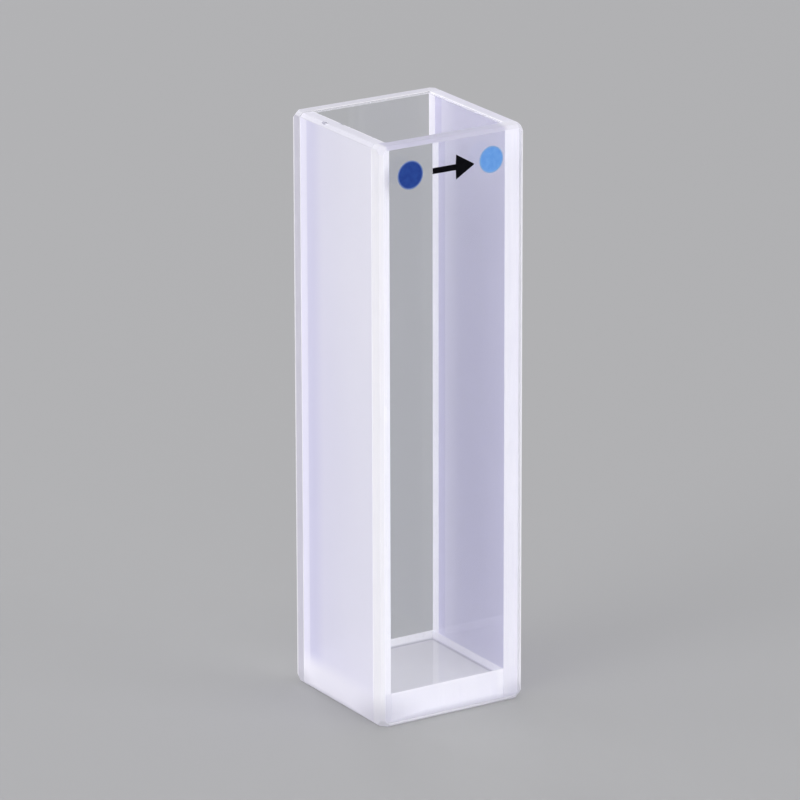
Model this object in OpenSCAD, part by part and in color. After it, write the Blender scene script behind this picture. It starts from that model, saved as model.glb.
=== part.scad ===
// Square glass cell, open at the top, that holds a liquid sample in a beam of light.
// Two clear windows face each other along Y, 10 mm apart, and two side walls, ground
// outside, stand between them. A base plate is let in between all four, level with their
// feet. The five plates are fused edge to face into one rigid box.
// Units are millimetres. +Z is up, and the origin is the middle of the foot.

/* [Cell] */
// Width of the square cell across its outer faces
outer_w = 12.5; // [8:0.1:30]
// Height of the cell from foot to rim
height = 45; // [20:0.5:80]

/* [Plates] */
// Thickness of the two clear windows
window_t = 1.25; // [0.9:0.05:2.5]
// Thickness of the two side walls
side_t = 1.25; // [0.9:0.05:2.5]
// Thickness of the base plate
base_t = 2.3; // [1:0.1:6]

/* [Ground edges] */
// Flat on each upright corner, measured along a face
corner_flat = 0.25; // [0.1:0.05:0.6]
// Bevel round the outside of the rim
rim_bevel = 0.25; // [0.1:0.05:0.4]
// Bevel round the mouth, inside the rim
mouth_bevel = 0.12; // [0.04:0.02:0.3]
// Bevel round the foot
foot_bevel = 0.15; // [0.1:0.05:0.6]
// How far back each of the eight corners is cut, measured along an edge
corner_cut = 0.78; // [0.68:0.05:1.08]

/* [Hidden] */

half_w = outer_w / 2;
inner_w = outer_w - 2 * side_t;      // across the cavity, from wall to wall
path_l = outer_w - 2 * window_t;     // along the beam, from window to window
corner_half = (outer_w - corner_flat) / sqrt(2); // from the axis to a corner flat
spare = 1;                           // how far a cutting solid goes past what it cuts

window_colour = [0.84, 0.90, 0.96, 0.45];
frosted_colour = [0.90, 0.91, 0.96];
base_colour = [0.87, 0.89, 0.95, 0.7];

// A slab across the cell, `half` from the axis to each side, with its four long edges
// bevelled as the rim and the foot are.
module bevelled_slab(half) {
    reach = outer_w + spare;
    rotate([90, 0, 0])
        linear_extrude(2 * reach, center = true)
            polygon([
                [-half + foot_bevel, 0], [half - foot_bevel, 0],
                [half, foot_bevel], [half, height - rim_bevel],
                [half - rim_bevel, height], [-half + rim_bevel, height],
                [-half, height - rim_bevel], [-half, foot_bevel],
            ]);
}

// A slab that leans over towards `turn`, square to the line from one corner of the cell
// through its middle to the opposite corner. It cuts a small facet off both.
module corner_slab(turn) {
    reach = 2 * (outer_w + height);
    facet_half = (half_w + half_w + height / 2 - corner_cut) / sqrt(3);
    translate([0, 0, height / 2])
        rotate([0, acos(1 / sqrt(3)), turn])
            cube([reach, reach, 2 * facet_half], center = true);
}

// The outside of the finished cell. Two slabs crossed make the square, two more at 45
// degrees give the flats on its upright corners, and four that lean give the facets.
module ground_outside() {
    intersection() {
        bevelled_slab(half_w);
        rotate([0, 0, 90]) bevelled_slab(half_w);
        rotate([0, 0, 45]) bevelled_slab(corner_half);
        rotate([0, 0, 135]) bevelled_slab(corner_half);
        corner_slab(45);
        corner_slab(135);
        corner_slab(225);
        corner_slab(315);
    }
}

// A trough that opens upwards from `width`, with sides at 45 degrees, for the mouth.
module mouth_trough(width) {
    foot_z = height - mouth_bevel;
    reach = outer_w + spare;
    rotate([90, 0, 0])
        linear_extrude(2 * reach, center = true)
            polygon([
                [-width / 2, foot_z], [width / 2, foot_z],
                [width / 2 + mouth_bevel + spare, height + spare],
                [-width / 2 - mouth_bevel - spare, height + spare],
            ]);
}

// What is ground off the inner edges of the rim.
module mouth_cut() {
    intersection() {
        mouth_trough(inner_w);
        rotate([0, 0, 90]) mouth_trough(path_l);
    }
}

// Grinds whatever plates it is given to the outside and the mouth of the cell.
module ground_to_cell() {
    difference() {
        intersection() {
            children();
            ground_outside();
        }
        mouth_cut();
    }
}

// A window's blank: full width and full height, standing on the -Y side.
module window_blank() {
    translate([-half_w, -half_w, 0])
        cube([outer_w, window_t, height]);
}

// A side wall's blank: full height, between the windows, standing on the -X side.
module wall_blank() {
    translate([-half_w, -path_l / 2, 0])
        cube([side_t, path_l, height]);
}

module front_window() {
    color(window_colour)
        ground_to_cell() window_blank();
}

module back_window() {
    color(window_colour)
        ground_to_cell() mirror([0, 1, 0]) window_blank();
}

module left_wall() {
    color(frosted_colour)
        ground_to_cell() wall_blank();
}

module right_wall() {
    color(frosted_colour)
        ground_to_cell() mirror([1, 0, 0]) wall_blank();
}

module base_plate() {
    color(base_colour)
        translate([-inner_w / 2, -path_l / 2, 0])
            cube([inner_w, path_l, base_t]);
}

front_window();
back_window();
left_wall();
right_wall();
base_plate();
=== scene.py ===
# %% [markdown]
# # A square glass cell, dressed for the camera
#
# The cell is five flat plates of glass fused edge to face: two polished windows, two side
# walls that are ground on the outside, and a thick base let in between them. The solid
# model already holds their true sizes. This script makes each plate again with the fine
# things that make glass look like glass: softly broken edges, a polished face beside a
# ground one, printed marks, and the small chips on the rim.

# %% Load the frame
import math
import random

import bpy
from mathutils import Matrix, Vector


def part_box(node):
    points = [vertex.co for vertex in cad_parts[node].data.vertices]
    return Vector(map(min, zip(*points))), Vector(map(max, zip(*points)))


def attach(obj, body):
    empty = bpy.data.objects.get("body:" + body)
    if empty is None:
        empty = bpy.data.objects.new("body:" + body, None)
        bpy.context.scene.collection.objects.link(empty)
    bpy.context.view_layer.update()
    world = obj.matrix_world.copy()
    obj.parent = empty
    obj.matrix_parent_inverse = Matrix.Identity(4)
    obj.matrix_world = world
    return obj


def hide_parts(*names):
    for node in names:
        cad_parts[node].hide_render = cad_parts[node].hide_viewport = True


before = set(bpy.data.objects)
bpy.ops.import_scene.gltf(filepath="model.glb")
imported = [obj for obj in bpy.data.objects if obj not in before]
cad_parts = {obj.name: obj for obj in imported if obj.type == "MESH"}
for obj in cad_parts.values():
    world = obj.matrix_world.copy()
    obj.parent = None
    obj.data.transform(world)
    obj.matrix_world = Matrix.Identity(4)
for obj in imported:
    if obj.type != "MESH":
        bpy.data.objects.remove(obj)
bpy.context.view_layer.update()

# %% [markdown]
# ## Sizes
#
# Every size comes from the solids, so the dressed plates can't drift from them. A box
# gives each plate's outside. The bevels aren't in a box, so they are read from the
# corners of the solids' own meshes: the rim bevel, for one, is how far the flat top of a
# window stops short of its front.

# %% Read the sizes from the solids
MM = 0.001
SLACK = 0.004 * MM


def corners(node):
    """The corner points of a solid, in metres."""
    return [vertex.co.copy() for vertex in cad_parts[node].data.vertices]


def near(a, b):
    """Whether two measures are the same, apart from rounding."""
    return abs(a - b) < SLACK


window_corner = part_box("front_window")[1]
base_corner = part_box("base_plate")[1]
height = window_corner.z
half_w = window_corner.x  # from the middle to an outer face
half_inner = base_corner.x  # from the middle to the inside of a side wall
half_path = base_corner.y  # from the middle to the inside of a window
base_t = base_corner.z

window_points = corners("front_window")
wall_points = corners("left_wall")
rim_bevel = min(p.y for p in window_points if near(p.z, height)) + half_w
foot_bevel = min(p.y for p in window_points if near(p.z, 0)) + half_w
corner_flat = half_w - max(p.x for p in window_points if near(p.y, -half_w))
mouth_bevel = -max(p.x for p in wall_points if near(p.z, height)) - half_inner
flat_end = max(p.z for p in window_points
               if near(p.y, -half_w) and near(p.x, half_w - corner_flat))
corner_cut = corner_flat + height - flat_end
for name, size in (
    ("height", height), ("half width", half_w), ("half the inside", half_inner),
    ("half the path", half_path), ("base", base_t), ("rim bevel", rim_bevel),
    ("foot bevel", foot_bevel), ("corner flat", corner_flat),
    ("mouth bevel", mouth_bevel), ("corner cut", corner_cut),
):
    print(f"{name:16s} {size / MM:7.3f} mm")

# %% [markdown]
# ## The camera
#
# A cell like this is seen from a little above, with one frosted wall and one window in
# view. A long lens, far away, keeps its upright edges nearly parallel, as in a
# catalogue. The camera is placed by its direction from the cell, its distance and the
# point that it looks at. Typing in a place and three angles would work too, but then a
# small change to one of them loses the object.

# %% Place the camera
AZIMUTH = math.radians(-31.97)  # turned to the left of the printed window
ELEVATION = math.radians(18.17)
ROLL = math.radians(-0.145)
DISTANCE = 465.7 * MM
LENS = 280.2  # focal length, in millimetres, as the sensor's width is
SENSOR = 36.0
AIM_HEIGHT = 23.01 * MM
AIM_LEFT = 0.61 * MM
NEAREST, FARTHEST = 0.05, 20  # what the camera sees at all, in metres

toward_camera = Vector((
    math.sin(AZIMUTH) * math.cos(ELEVATION),
    -math.cos(AZIMUTH) * math.cos(ELEVATION),
    math.sin(ELEVATION),
))
camera_right = Vector((math.cos(AZIMUTH), math.sin(AZIMUTH), 0))
aim = Vector((0, 0, AIM_HEIGHT)) - camera_right * AIM_LEFT

camera = bpy.data.objects.new("camera", bpy.data.cameras.new("camera"))
bpy.context.scene.collection.objects.link(camera)
camera.data.lens = LENS
camera.data.sensor_width = SENSOR
camera.data.clip_start = NEAREST
camera.data.clip_end = FARTHEST
camera.location = aim + toward_camera * DISTANCE
level_view = (-toward_camera).to_track_quat("-Z", "Y").to_matrix()
camera.rotation_euler = (level_view @ Matrix.Rotation(ROLL, 3, "Z")).to_euler()
bpy.context.scene.camera = camera
print("camera at", [round(v, 4) for v in camera.location])

# %% [markdown]
# ## Working by hand, in code
#
# The plates are made as they are at a bench: a blank is cut, and then each bevel is
# ground off it with one flat cut. In Blender the blank is a cube, and the grinding wheel
# is Bisect, which slices the mesh with a plane, throws one side away and closes the cut.
# Bevel would leave its own pattern at the corners, where three bevels of different
# widths meet. A row of flat cuts gives the corners that grinding gives.

# %% Helpers for blanks and cuts
ON_THE_CUT = 1e-7  # a point as near as this to a cut counts as on it, in metres


def only(piece):
    """Make piece the one selected and active object."""
    bpy.ops.object.select_all(action="DESELECT")
    piece.select_set(True)
    bpy.context.view_layer.objects.active = piece


def settle(piece):
    """Put the piece's place, turn and size into its mesh, so that it sits at the origin."""
    only(piece)
    bpy.ops.object.transform_apply(location=True, rotation=True, scale=True)


def blank(name, low, high):
    """A block of glass between two corners."""
    low, high = Vector(low), Vector(high)
    bpy.ops.object.select_all(action="DESELECT")
    bpy.ops.mesh.primitive_cube_add(size=1, location=(low + high) / 2)
    piece = bpy.context.object
    piece.name = piece.data.name = name
    piece.scale = high - low
    settle(piece)
    return piece


def cut(piece, point, outward, **choices):
    """Cut the whole piece with the plane through point, square to outward."""
    only(piece)
    bpy.ops.object.mode_set(mode="EDIT")
    bpy.ops.mesh.select_all(action="SELECT")
    bpy.ops.mesh.bisect(plane_co=point, plane_no=outward, threshold=ON_THE_CUT, **choices)
    bpy.ops.object.mode_set(mode="OBJECT")


def grind(piece, point, outward):
    """Cut off what lies beyond the plane, and close the cut."""
    cut(piece, point, outward, use_fill=True, clear_outer=True)


def select_none(piece, kind):
    """Go over to selecting one kind of element, with nothing selected yet."""
    only(piece)
    bpy.ops.object.mode_set(mode="EDIT")
    bpy.ops.mesh.select_mode(type=kind)
    bpy.ops.mesh.select_all(action="DESELECT")
    bpy.ops.object.mode_set(mode="OBJECT")


def select_edges(piece, wanted):
    """Select just the edges whose two ends both satisfy wanted, and enter edit mode."""
    select_none(piece, "EDGE")
    mesh = piece.data
    for edge in mesh.edges:
        edge.select = all(wanted(mesh.vertices[i].co) for i in edge.vertices)
    bpy.ops.object.mode_set(mode="EDIT")


def select_faces(piece, wanted):
    """Select just the faces that satisfy wanted, and enter edit mode."""
    select_none(piece, "FACE")
    for face in piece.data.polygons:
        face.select = wanted(face)
    bpy.ops.object.mode_set(mode="EDIT")


def apply_modifier(piece, kind, **settings):
    """Add one modifier, set it, and apply it."""
    only(piece)
    modifier = piece.modifiers.new(kind.lower(), kind)
    for key, value in settings.items():
        setattr(modifier, key, value)
    bpy.ops.object.modifier_apply(modifier=modifier.name)


# %% [markdown]
# The outside bevels run round the whole cell, over plate after plate, so one function
# grinds any plate as if it were already fused in place. Where a plate doesn't reach a
# cut, the cut takes nothing off. The last eight cuts are the small facets at the corners
# of the cell, which keep it from chipping when it is set down.

# %% Grind a plate to the outside of the cell
def ground_outside(piece):
    """Grind every flat, bevel and facet of the cell that this plate reaches."""
    to_corner_flat = (2 * half_w - corner_flat) / math.sqrt(2)
    up = Vector((0, 0, 1))
    for eighth in range(8):
        angle = eighth * math.pi / 4
        side = Vector((math.cos(angle), math.sin(angle), 0))
        on_a_corner = eighth % 2 == 1
        reach = to_corner_flat if on_a_corner else half_w
        if on_a_corner:
            grind(piece, side * reach, side)
        grind(piece, side * (reach - rim_bevel) + up * height, side + up)
        grind(piece, side * (reach - foot_bevel), side - up)
    for x, y in ((1, 1), (1, -1), (-1, 1), (-1, -1)):
        upright = Vector((x * half_w, y * half_w, 0))
        grind(piece, upright + up * (height - corner_cut), (x, y, 1))
        grind(piece, upright + up * corner_cut, (x, y, -1))


# %% [markdown]
# ## Broken edges
#
# No edge of real glass is perfectly sharp. The last touch of the wheel breaks it by a few
# hundredths of a millimetre, and that is what catches the light as a fine bright line.
# A Bevel modifier does it for every edge at once. The plates also keep a gap of a few
# thousandths between them, because two faces in exactly one plane flicker in a render.
#
# Only what meets at a very small angle is shaded smooth, such as the sides of a round
# mark. A polished face has to stay dead flat: if it shared its shading with the narrow
# faces round it, what is seen through the glass would bend.

# %% Break the sharp edges
EDGE_BREAK = 0.035 * MM
SEAM_GAP = 0.004 * MM
SHARP_ABOVE = math.radians(25)
SMOOTH_BELOW = math.radians(6)


def break_edges(piece, width=EDGE_BREAK):
    """Round off every sharp edge by width, and leave the flat faces flat."""
    apply_modifier(
        piece, "BEVEL", width=width, segments=2, limit_method="ANGLE",
        angle_limit=SHARP_ABOVE, use_clamp_overlap=True,
    )
    only(piece)
    bpy.ops.object.shade_smooth_by_angle(angle=SMOOTH_BELOW)
    print(f"{piece.name:18s} {len(piece.data.polygons):5d} faces")


# %% [markdown]
# ## The windows
#
# A window runs the full width of the cell and its full height, so its two ends show on
# the frosted sides as bright strips. The front one is made from its blank. The mouth
# bevel stops where the side walls stand, so the top inner edge is first marked off with
# two cuts that keep both sides, and only the stretch between them is bevelled.

# %% Make the windows
def half_turn(piece):
    """Swing a finished plate round to the other side of the cell."""
    only(piece)
    piece.rotation_euler.z = math.pi
    settle(piece)


def window(name):
    """A window in the place of the front one."""
    inside = -half_path - SEAM_GAP
    piece = blank(name, (-half_w, -half_w, 0), (half_w, inside, height))
    ground_outside(piece)
    for x in (-half_inner, half_inner):
        cut(piece, (x, 0, 0), (1, 0, 0))
    select_edges(piece, lambda p: near(p.z, height) and near(p.y, inside)
                 and abs(p.x) < half_inner + SLACK)
    bpy.ops.mesh.bevel(offset=mouth_bevel, offset_type="OFFSET", segments=1, affect="EDGES")
    bpy.ops.object.mode_set(mode="OBJECT")
    break_edges(piece)
    return piece


front_window = window("front_window_glass")
back_window = window("back_window_glass")
half_turn(back_window)

# %% [markdown]
# ## The side walls
#
# A side wall stands between the windows. Its outer face is ground all over and its inner
# face is polished. Its mouth bevel runs its whole length, so one more cut of the wheel
# makes it. The right wall is made as a second left one and swung round, and not
# mirrored, because a mirror would turn its faces inside out.

# %% Make the side walls
def side_wall(name):
    """A side wall in the place of the left one."""
    piece = blank(name, (-half_w, -half_path, 0), (-half_inner, half_path, height))
    ground_outside(piece)
    grind(piece, (-half_inner - mouth_bevel, 0, height), (1, 0, 1))
    break_edges(piece)
    return piece


left_wall = side_wall("left_wall_glass")
right_wall = side_wall("right_wall_glass")
half_turn(right_wall)

# %% [markdown]
# ## The base
#
# The base is a thick square plate between the four walls. Its edges are ground, and they
# show as white bands through its polished floor.

# %% Make the base
base = blank(
    "base_plate_glass",
    (-half_inner + SEAM_GAP, -half_path + SEAM_GAP, 0),
    (half_inner - SEAM_GAP, half_path - SEAM_GAP, base_t),
)
break_edges(base)

# %% [markdown]
# ## A small language for finishes
#
# A finish is a web of nodes, and its sums are hard to read when every one of them is a
# node with three settings. The class below wraps a socket, so that a sum can be written
# as a sum: `1 - haze * 0.3` adds the two Math nodes by itself. Every other node comes
# from one method, which takes the node's type, its settings and its inputs. Where a
# finish varies, it varies by noise in the piece's own coordinates, in metres, so that a
# grain has its true size and stays on the piece from every side.

# %% Shader helpers
NOISE_MIDDLE = 0.5
MIX_FACTOR, MIX_A, MIX_B, MIX_RESULT = 0, 6, 7, 2  # sockets of a Mix node set to colour


class Val:
    """A shader socket that takes part in Python expressions."""

    def __init__(self, nodes, socket):
        self.nodes, self.socket = nodes, socket

    def _math(self, operation, other, swap=False):
        pair = (other, self) if swap else (self, other)
        return self.nodes.add("Math", {"operation": operation}, *pair)

    def __add__(self, other):
        return self._math("ADD", other)

    def __radd__(self, other):
        return self._math("ADD", other, swap=True)

    def __sub__(self, other):
        return self._math("SUBTRACT", other)

    def __rsub__(self, other):
        return self._math("SUBTRACT", other, swap=True)

    def __mul__(self, other):
        return self._math("MULTIPLY", other)

    def __rmul__(self, other):
        return self._math("MULTIPLY", other, swap=True)


class Nodes:
    """One finish's node tree, with short ways to add to it."""

    def __init__(self, name):
        self.material = bpy.data.materials.new(name)
        self.material.use_nodes = True
        self.tree = self.material.node_tree
        self.tree.nodes.clear()

    def add(self, kind, settings=None, *inputs, out=0, **named):
        """Add a node. Inputs are given in order or by name, and out names the output."""
        node = self.tree.nodes.new("ShaderNode" + kind)
        for key, value in (settings or {}).items():
            setattr(node, key, value)
        wired = [(node.inputs[i], value) for i, value in enumerate(inputs)]
        wired += [(node.inputs[key.replace("_", " ")], value) for key, value in named.items()]
        for socket, value in wired:
            if isinstance(value, Val):
                self.tree.links.new(value.socket, socket)
            else:
                socket.default_value = value
        return Val(self, node.outputs[out])

    def place(self):
        """Where a point is on the piece, as one vector, in metres."""
        return self.add("TexCoord", out="Object")

    def along(self, axis):
        """The point's x, y or z."""
        return self.add("SeparateXYZ", None, self.place(), out=axis)

    def size_of(self, value):
        return self.add("Math", {"operation": "ABSOLUTE"}, value)

    def larger(self, a, b):
        return self.add("Math", {"operation": "MAXIMUM"}, a, b)

    def distance(self, a, b):
        return self.add("VectorMath", {"operation": "DISTANCE"}, a, b, out="Value")

    def rise(self, value, low, high):
        """0 below low, 1 above high, and a soft slope between."""
        slope = {"interpolation_type": "SMOOTHSTEP"}
        return self.add("MapRange", slope, value, low, high, 0.0, 1.0)

    def noise(self, grain, stretch=(1, 1, 1), detail=2.0, shift=(0, 0, 0)):
        """Cloudy noise whose lumps are about grain across, drawn out by stretch."""
        scale = [1 / (grain * s) for s in stretch]
        spot = self.add("Mapping", None, self.place(), Location=shift, Scale=scale)
        return self.add("TexNoise", Vector=spot, Scale=1.0, Detail=detail)

    def blend(self, factor, a, b):
        """Colour a where factor is 0 and colour b where it is 1."""
        node = self.tree.nodes.new("ShaderNodeMix")
        node.data_type = "RGBA"
        self.tree.links.new(factor.socket, node.inputs[MIX_FACTOR])
        for index, colour in ((MIX_A, a), (MIX_B, b)):
            if isinstance(colour, Val):
                self.tree.links.new(colour.socket, node.inputs[index])
            else:
                node.inputs[index].default_value = (*colour, 1)
        return Val(self, node.outputs[MIX_RESULT])

    def mix(self, share, a, b):
        """Shader a, with a share of shader b mixed in."""
        return self.add("MixShader", None, share, a, b)

    def bump(self, depth, strength, height_value):
        """A normal that is rough as height_value is, by up to depth."""
        return self.add("Bump", Strength=strength, Distance=depth, Height=height_value)

    def finish(self, surface, lets_through=0.0):
        """Close the tree. Lamps shine through the surface by the share lets_through."""
        if lets_through:
            share = (lets_through, lets_through, lets_through, 1)
            clear = self.add("BsdfTransparent", Color=share)
            from_lamp = self.add("LightPath", out="Is Shadow Ray")
            surface = self.mix(from_lamp, surface, clear)
        output = self.tree.nodes.new("ShaderNodeOutputMaterial")
        self.tree.links.new(surface.socket, output.inputs["Surface"])
        print(f"{self.material.name:20s} {len(self.tree.nodes):3d} nodes")
        return self.material


def sway(noise, amount):
    """What a noise adds to a value, up and down from its middle, scaled by amount."""
    return (noise - NOISE_MIDDLE) * amount


# %% [markdown]
# ## Polished glass
#
# The windows, the insides of the walls and the floor of the cell are optically polished.
# Such a face has no colour of its own, but a pane that shows nothing at all looks like a
# hole. What gives it away is a trace of grey in the glass, the reflections, and a film
# of wiping marks that is only just there. The film is mixed in as a second shader with
# a tiny share, and not painted on the glass, because it lies on top of it.
#
# A renderer sends its lamps' rays straight at a surface, and clear glass stops them. So
# every finish here asks whether the ray comes from a lamp, and lets a share of it pass.

# %% Polished finish
GLASS_IOR = 1.46
CLEAR_TONE = (0.955, 0.965, 0.985, 1)
FILM_TONE = (0.86, 0.87, 0.92, 1)
STROKE_FILM = 0.012  # the share of the film that shows where a stroke is
DUST_FILM = 0.10


def polished_finish():
    """Clear glass with long wiping strokes and a few specks of dust."""
    n = Nodes("polished_glass")
    strokes = n.rise(n.noise(2.6 * MM, stretch=(1.0, 1.0, 3.5), detail=3.0), 0.52, 0.78)
    dust = n.rise(n.noise(0.16 * MM, detail=1.0), 0.74, 0.80)
    glass = n.add("BsdfPrincipled", Base_Color=CLEAR_TONE, Transmission_Weight=1.0,
                  IOR=GLASS_IOR, Roughness=0.004 + strokes * 0.02)
    film = n.add("BsdfPrincipled", Base_Color=FILM_TONE, Roughness=0.6)
    share = strokes * STROKE_FILM + dust * DUST_FILM
    return n.finish(n.mix(share, glass, film), lets_through=0.96)


POLISHED = polished_finish()

# %% [markdown]
# The small bevel inside the mouth is only wiped with the polishing felt. It is half clear
# and a little rough, so that it doesn't show as a black line where it bends the view
# down into the glass.

# %% Half-polished finish of the mouth bevel
FELTED_TONE = (0.74, 0.74, 0.80, 1)
MOUTH_CLEARNESS = 0.5


def felted_finish():
    """Half-clear glass with fine scuffs."""
    n = Nodes("felted_bevel")
    scuffs = n.noise(0.08 * MM, detail=2.0)
    glass = n.add("BsdfPrincipled", Base_Color=FELTED_TONE, IOR=GLASS_IOR,
                  Transmission_Weight=MOUTH_CLEARNESS, Roughness=0.25 + sway(scuffs, 0.2))
    return n.finish(glass, lets_through=0.9)


FELTED = felted_finish()

# %% [markdown]
# ## Ground glass
#
# Grinding leaves a face covered in tiny pits, which scatter the light and turn the glass
# satin white. The side walls are ground evenly with a fine grit. The ends of the windows,
# the bevels and the rim are ground with a wheel, which leaves streaks along its path.
#
# A painted shade darkens the foot. It lies low on the sides, reaches further up at the
# four corners, and furthest at the front left one. Every ground finish needs it, so it is
# made once, as a mask that they all use.

# %% Where the foot is painted with shade
UPWARD_SQUEEZE = 1.8  # a shaded corner reaches this much less far up than along the foot
EACH_CORNER = (0.5 * MM, 3.2 * MM)  # where its painted shade starts to fade, and where it ends
MOST_SHADED_CORNER = (1.0 * MM, 5.2 * MM)


def shaded_corner(n, place, corner, reach):
    """1 round one corner of the foot, fading to 0 over the two distances in reach."""
    squashed = n.add("VectorMath", {"operation": "MULTIPLY"}, place, (1, 1, UPWARD_SQUEEZE))
    return 1 - n.rise(n.distance(squashed, corner), *reach)


def outermost(n):
    """How far out a point is from the middle of the cell, towards the nearest side."""
    return n.larger(n.size_of(n.along("X")), n.size_of(n.along("Y")))


def on_the_sides(n):
    """1 on the outside of the cell and 0 under the middle of its foot."""
    return n.rise(outermost(n), half_inner - 0.3 * MM, half_inner - 0.05 * MM)


def shade_at_the_foot(n, reach):
    """1 under the painted foot shade: low on the sides up to reach, and round the corners."""
    low = 1 - n.rise(n.along("Z"), 0.05 * MM, reach)
    apart = n.add("VectorMath", {"operation": "ABSOLUTE"}, n.place())
    each = shaded_corner(n, apart, (half_w, half_w, 0), EACH_CORNER)
    most = shaded_corner(n, n.place(), (-half_w, -half_w, 0), MOST_SHADED_CORNER)
    return n.larger(low * on_the_sides(n), n.larger(each, most))


# %% [markdown]
# A frosted wall isn't evenly white, and its bands are painted light and shade. Along its
# back edge the back window is fused on behind it, and a painted band of light stands for
# the light that comes back from the bond. Next to the band a painted shade stands for the
# light that slips away into the plate. Over the base the wall is painted whitest, for the
# base's own white edge that lies behind it, and towards the mouth it is painted a little
# lighter too. These bands are what shows that the cell is built of separate plates, so
# they are worked out from the plates' own sizes.
#
# The left wall shows its ground face, and is painted darker towards the back. The right
# one shows its face through its own glass, and is painted as a shaded copy in a deeper
# tone, and there the band is painted as the dark place and its neighbour as the light
# one. So both walls share a function, and each gives its own tones.

# %% Frosted finish of the side walls
# FOOT_SHADE_COLOUR is the colour of the painted shade at the foot.
FOOT_SHADE_COLOUR = (0.50, 0.49, 0.56)
WALL_WHITE = (0.925, 0.91, 1.0)
WALL_CLEARNESS = 0.27
WALL_FOOT_SHADE = 0.6
PAINTED_LIGHT_AT_MOUTH = 0.12
PAINTED_LIGHT_OVER_BASE = 0.20


def frosted_finish(name, tone, fall, beside, band, deep):
    """Frosted glass whose white runs from the colour deep to WALL_WHITE.

    Painted shade makes its tone darker by fall towards the back, and darker again by
    beside next to the bond, and painted light makes it lighter by band on it. A share
    below 0 turns that round.
    """
    n = Nodes(name)
    y, z = n.along("Y"), n.along("Z")
    # Painted light and shade: shade beside the bond, light on it, over the base and at the
    # mouth.
    shade_beside_bond = n.rise(y, half_path - 3.3 * MM, half_path - 1.6 * MM)
    light_on_bond = n.rise(y, half_path - 0.98 * MM, half_path - 0.86 * MM)
    light_over_base = 1 - n.rise(z, base_t - 0.7 * MM, base_t + 0.9 * MM)
    clouds = n.noise(4.5 * MM, stretch=(1, 1, 1.8), detail=3.0)
    grain = n.noise(0.07 * MM, detail=2.0)
    lit_towards_mouth = n.rise(z, 0.4 * height, height)
    backward = n.rise(y, -half_path, half_path)
    shade = backward * fall + shade_beside_bond * beside - light_on_bond * band
    tone = (tone + lit_towards_mouth * PAINTED_LIGHT_AT_MOUTH + sway(clouds, 0.12) + sway(grain, 0.10)
            - shade * (1 - light_over_base) + light_over_base * PAINTED_LIGHT_OVER_BASE)
    colour = n.blend(tone, deep, WALL_WHITE)
    # Painted shade at the foot.
    colour = n.blend(shade_at_the_foot(n, 0.5 * MM) * WALL_FOOT_SHADE, colour, FOOT_SHADE_COLOUR)
    satin = n.add(
        "BsdfPrincipled", Base_Color=colour, Roughness=0.50 + sway(grain, 0.2),
        IOR=GLASS_IOR, Transmission_Weight=WALL_CLEARNESS,
        Normal=n.bump(0.004 * MM, 0.35, grain),
    )
    return n.finish(satin, lets_through=0.5)


LEFT_FROSTED = frosted_finish(
    "frosted_left_wall", tone=0.78, fall=0.26, beside=0.32, band=0.33,
    deep=(0.63, 0.615, 0.86),
)
# The right wall's finish is a shaded copy of the left one's, in a deeper painted tone.
SHADED_RIGHT_FROSTED = frosted_finish(
    "frosted_right_wall", tone=0.16, fall=0.0, beside=-0.20, band=-0.38,
    deep=(0.645, 0.62, 0.82),
)

# %% [markdown]
# The wheel-ground edges share a second function. Each has its own pair of tones, which
# are painted light and shade on one ground glass. Some are painted lighter in one place:
# a highlight along the rim's mouth, which is also crumbled on the left wall, light along
# the corner of a window's end, and light on the front rim where a side wall stands behind
# it. A thin edge also lets some light through from behind, so a share of a translucent
# shader is mixed in.

# %% Wheel-ground finishes of the edges
EDGE_LIGHT_COLOUR = (0.97, 0.96, 1.0)
EDGE_GLOW = (0.95, 0.94, 0.99, 1)
EDGE_GLOW_SHARE = 0.2
EDGE_CLEARNESS = 0.1
EDGE_FOOT_SHADE = 0.8
STREAK_LENGTH = 14.0  # how much longer a wheel streak is than it is wide
CORNER_LIGHT = 0.7
OVER_WALL_LIGHT = 0.6


def highlight_at_the_mouth(n):
    """A painted highlight along the sharp inner edge of the rim."""
    edge = half_inner + mouth_bevel
    return 1 - n.rise(outermost(n), edge, edge + 0.14 * MM)


def light_at_the_corner(n):
    """Painted light along the outer edge of a window's end, where light gathers."""
    edge = half_w - corner_flat
    along_edge = n.rise(n.size_of(n.along("Y")), edge - 0.20 * MM, edge - 0.14 * MM)
    return along_edge * CORNER_LIGHT


def light_over_a_wall(n):
    """Painted light on two stretches of a window's rim that have a wall's end behind them."""
    x = n.along("X")
    right = n.rise(x, half_inner - 0.7 * MM, half_inner - 0.1 * MM)
    left = 1 - n.rise(x, -half_inner - 0.8 * MM, -half_inner - 0.5 * MM)
    return (right + left) * OVER_WALL_LIGHT


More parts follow.
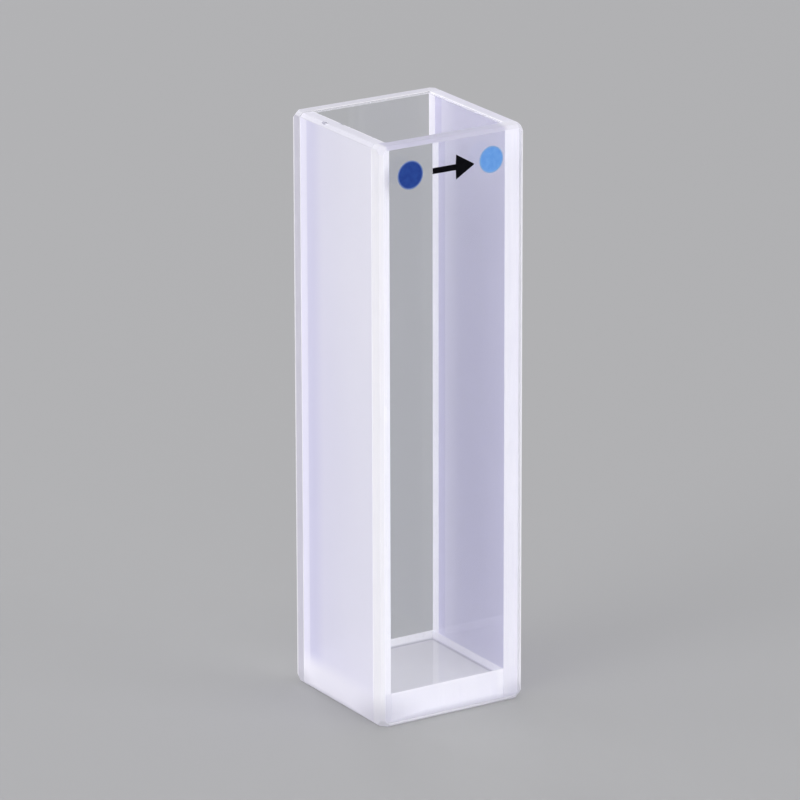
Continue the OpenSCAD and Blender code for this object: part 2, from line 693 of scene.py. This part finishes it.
def ground_finish(name, dark, light, streaks_along, light_where=None):
    """Ground glass with wheel streaks along one axis, and painted light in some places."""
    n = Nodes(name)
    stretch = [STREAK_LENGTH if axis == streaks_along else 1.0 for axis in "XYZ"]
    streaks = n.noise(0.10 * MM, stretch=stretch, detail=3.0)
    pits = n.noise(0.06 * MM, detail=1.0, shift=(3, 1, 2))
    tone = 0.5 + sway(streaks, 0.9) + sway(pits, 0.4)
    # Painted shade at the foot.
    colour = n.blend(shade_at_the_foot(n, 0.8 * MM) * EDGE_FOOT_SHADE, n.blend(tone, dark, light),
                     FOOT_SHADE_COLOUR)
    # Painted light and highlights, where light_where asks for them.
    if light_where:
        colour = n.blend(light_where(n), colour, EDGE_LIGHT_COLOUR)
    satin = n.add(
        "BsdfPrincipled", Base_Color=colour, IOR=GLASS_IOR,
        Transmission_Weight=EDGE_CLEARNESS, Roughness=0.5 + sway(streaks, 0.25),
        Normal=n.bump(0.003 * MM, 0.3, streaks + pits),
    )
    glow = n.add("BsdfTranslucent", Color=EDGE_GLOW)
    return n.finish(n.mix(EDGE_GLOW_SHARE, satin, glow), lets_through=0.9)


# Lit and shaded copies of one ground glass: lightest on the uprights, darker on the rim,
# darkest on the front rim and the back window's ends.
UPRIGHT = ground_finish("ground_upright_edge", (0.88, 0.87, 0.96), (0.99, 0.98, 1.0), "Z")
SHADED_BACK_END = ground_finish("ground_window_end", (0.51, 0.495, 0.60), (0.69, 0.67, 0.77), "Z",
                         light_at_the_corner)
RIM = ground_finish("ground_rim", (0.65, 0.64, 0.73), (0.81, 0.80, 0.88), "X", highlight_at_the_mouth)
SHADED_FRONT_RIM = ground_finish("ground_front_rim", (0.50, 0.49, 0.63), (0.64, 0.62, 0.77), "X",
                          light_over_a_wall)

# %% [markdown]
# ## The fused bonds
#
# Where two plates meet, a thin layer of glass powder was melted between them. It stays
# white, and it shows through the clear windows as the bright upright strips and as the
# white band round the floor. It isn't quite even: it has small bubbles and thin spots.
# Round the base it is painted darker with shade, except at the back and on the right.
#
# The light enters the layer and leaves it on every side, so it is bright even where it
# is turned away from the lamps. A share of a translucent shader gives that glow. The
# share is smaller under the painted shade at the foot.

# %% Bond finish
BOND_DARK = (0.76, 0.745, 0.84)
BOND_LIGHT = (1.0, 0.985, 1.0)
BOND_GLOW = 0.42
BOND_FOOT_SHADE = 0.85
GLOW_LOST_TO_FOOT_SHADE = 0.5
PAINTED_SHADE_ROUND_BASE = 0.60
LIT_SPARED = 0.7  # how much of that painted shade the lit back and right are spared


def bond_finish():
    """White fused powder, with bubbles, and painted shade round the base."""
    n = Nodes("fused_bond")
    drift = n.noise(1.6 * MM, stretch=(1, 1, 4), detail=2.0)
    lines = n.noise(0.09 * MM, stretch=(1, 1, 40), detail=2.0)
    bubbles = n.rise(n.noise(0.13 * MM, detail=1.0), 0.66, 0.76)
    # Painted shade at the foot, which also takes away some of the glow.
    shade_at_foot = shade_at_the_foot(n, 0.6 * MM)
    # Painted shade round the base, mostly spared at the back and on the right.
    low = 1 - n.rise(n.along("Z"), base_t - 0.2 * MM, base_t + 0.2 * MM)
    back = n.rise(n.along("Y"), half_path - 1.0 * MM, half_path)
    right = n.rise(n.along("X"), half_inner - 1.0 * MM, half_inner)
    lit_back_right = n.larger(back, right)
    shade_round_base = low * on_the_sides(n) * (1 - lit_back_right * LIT_SPARED)
    tone = (0.80 + sway(drift, 0.4) + sway(lines, 0.7) - bubbles * 0.35
            - shade_round_base * PAINTED_SHADE_ROUND_BASE)
    colour = n.blend(tone, BOND_DARK, BOND_LIGHT)
    colour = n.blend(shade_at_foot * BOND_FOOT_SHADE, colour, FOOT_SHADE_COLOUR)
    white = n.add("BsdfPrincipled", Base_Color=colour, Roughness=0.55, IOR=GLASS_IOR,
                  Normal=n.bump(0.004 * MM, 0.3, drift))
    glow = n.add("BsdfTranslucent", Color=(*BOND_LIGHT, 1))
    share = BOND_GLOW * (1 - shade_at_foot * GLOW_LOST_TO_FOOT_SHADE)
    return n.finish(n.mix(share, white, glow), lets_through=0.8)


BOND = bond_finish()

# %% [markdown]
# A chip is a fresh break. Its surface is smooth, with fine ripples that run across it as
# they do in a shell, and it looks greyer than the ground glass round it, because it
# scatters much less of the light.

# %% Finish of a broken surface
CHIP_TONE = (0.46, 0.46, 0.54, 1)
CHIP_CLEARNESS = 0.2


def chipped_finish():
    """Smooth, rippled glass that is only a little clear."""
    n = Nodes("chipped_glass")
    ripples = n.noise(0.05 * MM, detail=1.0)
    glass = n.add("BsdfPrincipled", Base_Color=CHIP_TONE, IOR=GLASS_IOR,
                  Roughness=0.12 + ripples * 0.1, Transmission_Weight=CHIP_CLEARNESS,
                  Normal=n.bump(0.004 * MM, 0.5, ripples))
    return n.finish(glass, lets_through=0.4)


CHIPPED = chipped_finish()

# %% [markdown]
# ## Which face gets which finish
#
# Each plate has one slot for every finish, and each face is given its slot by the
# direction that it faces and by where it is. The narrow faces of the broken edges face
# no main direction, so they keep the first finish, which is the bright ground one.

# %% Dress the plates
FINISHES = [UPRIGHT, POLISHED, FELTED, LEFT_FROSTED, SHADED_RIGHT_FROSTED, BOND, RIM, SHADED_FRONT_RIM,
            SHADED_BACK_END, CHIPPED]
SQUARE_ON = 0.999  # the least that a face may share of a direction that it faces
UPTURNED = 0.05


def faces_toward(face, x, y, z):
    return face.normal.dot(Vector((x, y, z))) > SQUARE_ON


def dress(piece, rule):
    """Give each face the finish that rule names for it."""
    mesh = piece.data
    mesh.materials.clear()
    for finish in FINISHES:
        mesh.materials.append(finish)
    for face in mesh.polygons:
        face.material_index = FINISHES.index(rule(face))
    used = sorted({FINISHES[face.material_index].name for face in mesh.polygons})
    print(f"{piece.name:18s} {', '.join(used)}")


def inside_the_mouth(face, across, inner):
    """On the small bevel below the rim's flat, where across runs from the cell's middle."""
    near_the_top = face.center.z > height - 2 * mouth_bevel
    return near_the_top and abs(across) < inner + 0.85 * mouth_bevel


def on_the_rim(face):
    return face.center.z > height / 2 and face.normal.z > UPTURNED


def window_rule(face):
    """Polished front and back, and ground all round."""
    if abs(face.normal.y) > SQUARE_ON:
        return POLISHED
    if inside_the_mouth(face, face.center.y, half_path):
        return FELTED
    if on_the_rim(face):
        return RIM if face.center.y > 0 else SHADED_FRONT_RIM
    if face.center.y > half_path and abs(face.normal.x) > SQUARE_ON:
        return SHADED_BACK_END
    return UPRIGHT


def wall_rule(face):
    """Polished inside, frosted outside, and fused to the windows at both ends."""
    on_the_right = face.center.x > 0
    inward = -1 if on_the_right else 1
    if faces_toward(face, inward, 0, 0):
        return POLISHED
    if inside_the_mouth(face, face.center.x, half_inner):
        return FELTED
    if faces_toward(face, -inward, 0, 0):
        return SHADED_RIGHT_FROSTED if on_the_right else LEFT_FROSTED
    if abs(face.normal.y) > SQUARE_ON:
        return BOND
    return RIM if on_the_rim(face) else UPRIGHT


def base_rule(face):
    """Polished on top, and fused or ground everywhere else."""
    return POLISHED if faces_toward(face, 0, 0, 1) else BOND


for piece, rule in ((front_window, window_rule), (back_window, window_rule),
                    (left_wall, wall_rule), (right_wall, wall_rule), (base, base_rule)):
    dress(piece, rule)

# %% [markdown]
# ## Chips on the rim
#
# The rim is the part that gets knocked. On this cell the left wall has one flake off the
# flat of its rim, one nick in the mouth edge, and a crumbling of much smaller ones. A
# chip in glass is a little shell-shaped scoop, so each one is made with a small ball and
# a Boolean that takes the ball away. Moving points of the rim by hand would drag the
# large flat faces with them.

# %% Cut the chips
def chip_cutter(name, chips):
    """One object that holds a small, flattened ball for every chip."""
    balls = []
    for place, size in chips:
        bpy.ops.object.select_all(action="DESELECT")
        bpy.ops.mesh.primitive_ico_sphere_add(subdivisions=2, radius=1, location=place)
        ball = bpy.context.object
        ball.scale = size
        balls.append(ball)
    for ball in balls:
        ball.select_set(True)
    bpy.ops.object.join()
    cutter = bpy.context.object
    cutter.name = cutter.data.name = name
    cutter.data.materials.append(CHIPPED)
    settle(cutter)
    return cutter


def cut_chips(piece, chips):
    """Take the chips out of a piece, with a broken-glass finish where it was cut."""
    cutter = chip_cutter(piece.name + "_chips", chips)
    apply_modifier(piece, "BOOLEAN", object=cutter, operation="DIFFERENCE", solver="EXACT",
                   use_self=True, material_mode="TRANSFER")
    bpy.data.objects.remove(cutter)
    print(f"{piece.name:18s} {len(chips)} chips, {len(piece.data.polygons)} faces")


CRUMBS = 12
CRUMBS_SPREAD = 4.2  # millimetres to each side of the middle of the wall
CRUMB_SIZES = (0.04, 0.08)  # in millimetres
CRUMB_LENGTH = 1.6  # how much longer than wide
SEED = 11

mouth_x = -half_inner - mouth_bevel / 2
flake = ((-6.05 * MM, 1.84 * MM, height), (0.18 * MM, 0.40 * MM, 0.15 * MM))
nick = ((mouth_x, 0.74 * MM, height), (0.22 * MM, 0.30 * MM, 0.22 * MM))
chance = random.Random(SEED)
crumbs = []
for _ in range(CRUMBS):
    along = chance.uniform(-CRUMBS_SPREAD, CRUMBS_SPREAD) * MM
    size = chance.uniform(*CRUMB_SIZES) * MM
    crumbs.append(((mouth_x - 0.05 * MM, along, height), (size, size * CRUMB_LENGTH, size)))
cut_chips(left_wall, [flake, nick] + crumbs)

# %% [markdown]
# ## The printed marks
#
# Three marks are printed near the top of the front window and fired on: a deep blue dot,
# a plain black arrow and a light blue dot. They show which way round the cell goes, so
# that it always stands in the beam in the same way. Printed ink has a thickness. A dot
# starts as a flat cylinder, its face is inset, and the middle is pushed in a little, so
# that the ink stands up in a fine rim as it does where it dried.

# %% Print the dots
INK_T = 0.020 * MM
INK_SUNK = 0.002 * MM  # how deep the fired ink bites into the glass
INK_RIM = 0.09 * MM
INK_DIP = 0.3 * INK_T
LEFT_R = 1.09 * MM
RIGHT_R = 1.03 * MM
DOT_SIDES = 96


def on_the_window(piece, x, z):
    """Lay a mark that was made flat, facing up, against the front window."""
    piece.location = (x, -half_w - INK_T / 2 + INK_SUNK, z)
    piece.rotation_euler = (math.pi / 2, 0, 0)
    settle(piece)


def inset_top(piece, thickness, depth):
    """Inset the large face on top, then push its inner part up by depth."""
    select_faces(piece, lambda face: faces_toward(face, 0, 0, 1) and face.area > RIGHT_R ** 2)
    bpy.ops.mesh.inset(thickness=thickness, depth=depth)
    bpy.ops.object.mode_set(mode="OBJECT")


def ink_dot(name, x, z, radius):
    """A round dot with a fine raised rim."""
    bpy.ops.object.select_all(action="DESELECT")
    bpy.ops.mesh.primitive_cylinder_add(vertices=DOT_SIDES, radius=radius, depth=INK_T)
    piece = bpy.context.object
    piece.name = piece.data.name = name
    inset_top(piece, INK_RIM, 0)
    inset_top(piece, INK_RIM / 2, -INK_DIP)
    break_edges(piece, width=INK_DIP)
    on_the_window(piece, x, z)
    return piece


DOT_Z = 42.7 * MM
left_dot = ink_dot("left_dot_ink", -3.69 * MM, DOT_Z - 0.10 * MM, LEFT_R)
right_dot = ink_dot("right_dot_ink", 3.31 * MM, DOT_Z + 0.01 * MM, RIGHT_R)

# %% [markdown]
# The arrow starts as a flat bar. Its end is selected and extruded twice: first by next to
# nothing, and made four times as wide, for the back of the head, and then by the head's
# length, and drawn in to a blunt point.

# %% Print the arrow
SHAFT_L = 2.0 * MM
STROKE = 0.46 * MM
HEAD_L = 1.55 * MM
HEAD_W = 1.9 * MM
HEAD_BACK = 0.03 * MM
ARROW_BREAK = 0.4 * INK_T
POINT_SHARE = 0.04  # the width left at the point, as a share of the head's


def extend(length, widening):
    """Extrude what is selected along X, and make its end wider or narrower."""
    bpy.ops.mesh.extrude_region_move(TRANSFORM_OT_translate={"value": (length, 0, 0)})
    bpy.ops.transform.resize(value=(1, widening, 1))


def ink_arrow(name, x, z):
    """A plain arrow that points along X."""
    piece = blank(name, (-SHAFT_L, -STROKE / 2, -INK_T / 2), (0, STROKE / 2, INK_T / 2))
    select_faces(piece, lambda face: faces_toward(face, 1, 0, 0))
    extend(HEAD_BACK, HEAD_W / STROKE)
    extend(HEAD_L, POINT_SHARE)
    bpy.ops.object.mode_set(mode="OBJECT")
    piece.location.x = (SHAFT_L - HEAD_L) / 2
    settle(piece)
    break_edges(piece, width=ARROW_BREAK)
    on_the_window(piece, x, z)
    return piece


arrow = ink_arrow("arrow_ink", 0, DOT_Z - 0.1 * MM)

# %% [markdown]
# The ink is a glassy enamel, printed through a fine mesh. It is thinner in some places
# than in others, and paler along its edge, where it dried last.

# %% Ink finishes
ENAMEL_IOR = 1.5


def ink_finish(name, deep, pale, edge=None, centre=None, radius=0, gloss=0.3):
    """Enamel ink. With a centre and a radius, the edge of the round dot is paler."""
    n = Nodes(name)
    mottle = n.noise(0.35 * MM, detail=3.0)
    mesh_print = n.noise(0.05 * MM, detail=1.0)
    colour = n.blend(n.rise(mottle, 0.30, 0.70), deep, pale)
    if centre:
        across = n.distance(n.place(), centre)
        at_the_edge = n.rise(across, radius - INK_RIM * 1.5, radius - INK_RIM * 0.5)
        colour = n.blend(at_the_edge, colour, edge)
    enamel = n.add("BsdfPrincipled", Base_Color=colour, IOR=ENAMEL_IOR,
                   Specular_IOR_Level=gloss, Roughness=0.32 + sway(mesh_print, 0.2),
                   Normal=n.bump(0.002 * MM, 0.3, mesh_print))
    return n.finish(enamel)


def centre_of(piece):
    """The middle of a piece, as the mean of its points."""
    points = [vertex.co for vertex in piece.data.vertices]
    return sum(points, Vector()) / len(points)


left_dot.data.materials.append(ink_finish(
    "deep_blue_ink", deep=(0.006, 0.040, 0.258), pale=(0.011, 0.055, 0.295),
    edge=(0.15, 0.22, 0.46), centre=centre_of(left_dot), radius=LEFT_R))
right_dot.data.materials.append(ink_finish(
    "light_blue_ink", deep=(0.120, 0.318, 0.755), pale=(0.148, 0.362, 0.790),
    edge=(0.24, 0.40, 0.68), centre=centre_of(right_dot), radius=RIGHT_R))
arrow.data.materials.append(ink_finish(
    "black_ink", deep=(0.001, 0.001, 0.002), pale=(0.003, 0.003, 0.005), gloss=0.05))

# %% [markdown]
# ## Fixing every piece to the cell
#
# Nothing on the cell moves, so every piece rides on its one body. Each plate stands for
# the solid of the same name. The marks stand for no solid, because ink has none.

# %% Tell the frame what each piece is
for piece, node, slot in (
    (front_window, "front_window", "window_glass"),
    (back_window, "back_window", "window_glass"),
    (left_wall, "left_wall", "frosted_glass"),
    (right_wall, "right_wall", "frosted_glass"),
    (base, "base_plate", "base_glass"),
):
    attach(piece, "root")
    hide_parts(node)
    print(f"{piece.name:18s} stands for {node}")
for mark in (left_dot, right_dot, arrow):
    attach(mark, "root")
    print(f"{mark.name:18s} stands for no solid")

# %% [markdown]
# ## The studio
#
# Glass shows what is round it. The cell stands on a plain pale floor, and the far view
# is of the same tone, so that the windows look clear and the frosted walls stand out
# white. The floor lies a hair below the foot, because the foot's own face would
# otherwise lie in the same plane.

# %% Floor
FLOOR_COLOUR = (0.370, 0.370, 0.380, 1)
FLOOR_SIZE = 2.4
FLOOR_DROP = 0.02 * MM


def floor_finish():
    """Plain matt paper."""
    n = Nodes("floor")
    paper = n.add("BsdfPrincipled", Base_Color=FLOOR_COLOUR, Roughness=0.9,
                  Specular_IOR_Level=0.1)
    return n.finish(paper)


bpy.ops.object.select_all(action="DESELECT")
bpy.ops.mesh.primitive_plane_add(size=FLOOR_SIZE, location=(0, 0, -FLOOR_DROP))
floor = bpy.context.object
floor.name = "floor"
floor.data.materials.append(floor_finish())
print("floor:", FLOOR_SIZE, "m square")

# %% [markdown]
# The world gives most of the light, evenly from all sides. Looked at directly, through
# the clear glass, or as a reflection in it, it has the tone of the lit floor instead, so
# that the glass shows the same pale background that stands behind it.

# %% World
SKY_LIGHT = 0.7
FAR_TONE = (0.440, 0.440, 0.452)

world = bpy.data.worlds.new("studio")
bpy.context.scene.world = world
world.use_nodes = True
tree = world.node_tree
tree.nodes.clear()


def background(colour, strength):
    """Light of one colour from everywhere."""
    node = tree.nodes.new("ShaderNodeBackground")
    node.inputs["Color"].default_value = (*colour, 1)
    node.inputs["Strength"].default_value = strength
    return node.outputs[0]


def either(a, b):
    """1 where a or b is 1."""
    node = tree.nodes.new("ShaderNodeMath")
    node.operation = "MAXIMUM"
    tree.links.new(a, node.inputs[0])
    tree.links.new(b, node.inputs[1])
    return node.outputs[0]


ray = tree.nodes.new("ShaderNodeLightPath").outputs
in_the_glass = either(ray["Is Transmission Ray"], ray["Is Glossy Ray"])
seen = either(ray["Is Camera Ray"], in_the_glass)
sky = background((1, 1, 1), SKY_LIGHT)
far_view = background(FAR_TONE, 1)
sky_or_view = tree.nodes.new("ShaderNodeMixShader")
for socket, value in zip(sky_or_view.inputs, (seen, sky, far_view)):
    tree.links.new(value, socket)
output = tree.nodes.new("ShaderNodeOutputWorld")
tree.links.new(sky_or_view.outputs[0], output.inputs["Surface"])
print("world:", SKY_LIGHT, "all round, seen as", FAR_TONE)

# %% [markdown]
# ## The lamps
#
# Three large soft lamps of much the same level stand round the cell: to the left, in
# front on the right, and behind. They make the frosted wall and the white bonds stand
# out from each other, at a level where a white comes out as white and no more. The one
# behind shines into the bonds and the rim, and makes them glow.
#
# Each lamp is given by its level, and its power follows from its distance. A hood round
# it keeps its light off the floor beneath it, and narrows the beam, so that the same
# level takes less power. A ray that leaves a surface through clear glass doesn't find
# the lamps, because the finishes have already let their light in, and it would count
# twice.

# %% Lamps
HOOD = math.radians(80)
LAMP_WIDTH = 1.0


def lamp(name, place, level):
    """A square lamp that lights a dull white face turned to it up to level."""
    target = Vector((0, 0, height / 2))
    distance = (Vector(place) - target).length
    half = HOOD / 2
    # The share of a bare lamp's power that gives the same level inside the hood's beam.
    beam = math.sin(half) ** 2 - (half - math.sin(HOOD) / 2) / math.tan(half)
    data = bpy.data.lights.new(name, "AREA")
    data.shape = "SQUARE"
    data.size = LAMP_WIDTH
    data.spread = HOOD
    data.energy = level * (math.pi * distance) ** 2 * beam
    item = bpy.data.objects.new(name, data)
    bpy.context.scene.collection.objects.link(item)
    item.location = place
    item.rotation_euler = (target - Vector(place)).to_track_quat("-Z", "Y").to_euler()
    item.visible_transmission = False
    print(f"{name:6s} {data.energy:.2f} W at {distance:.2f} m")


lamp("left", (-1.60, -0.20, 0.60), level=0.64)
lamp("front", (0.80, -1.38, 0.55), level=0.62)
lamp("back", (0.10, 1.62, 0.70), level=0.70)

# %% [markdown]
# ## Closing

# %% Finish
bpy.context.scene.view_settings.view_transform = "Standard"
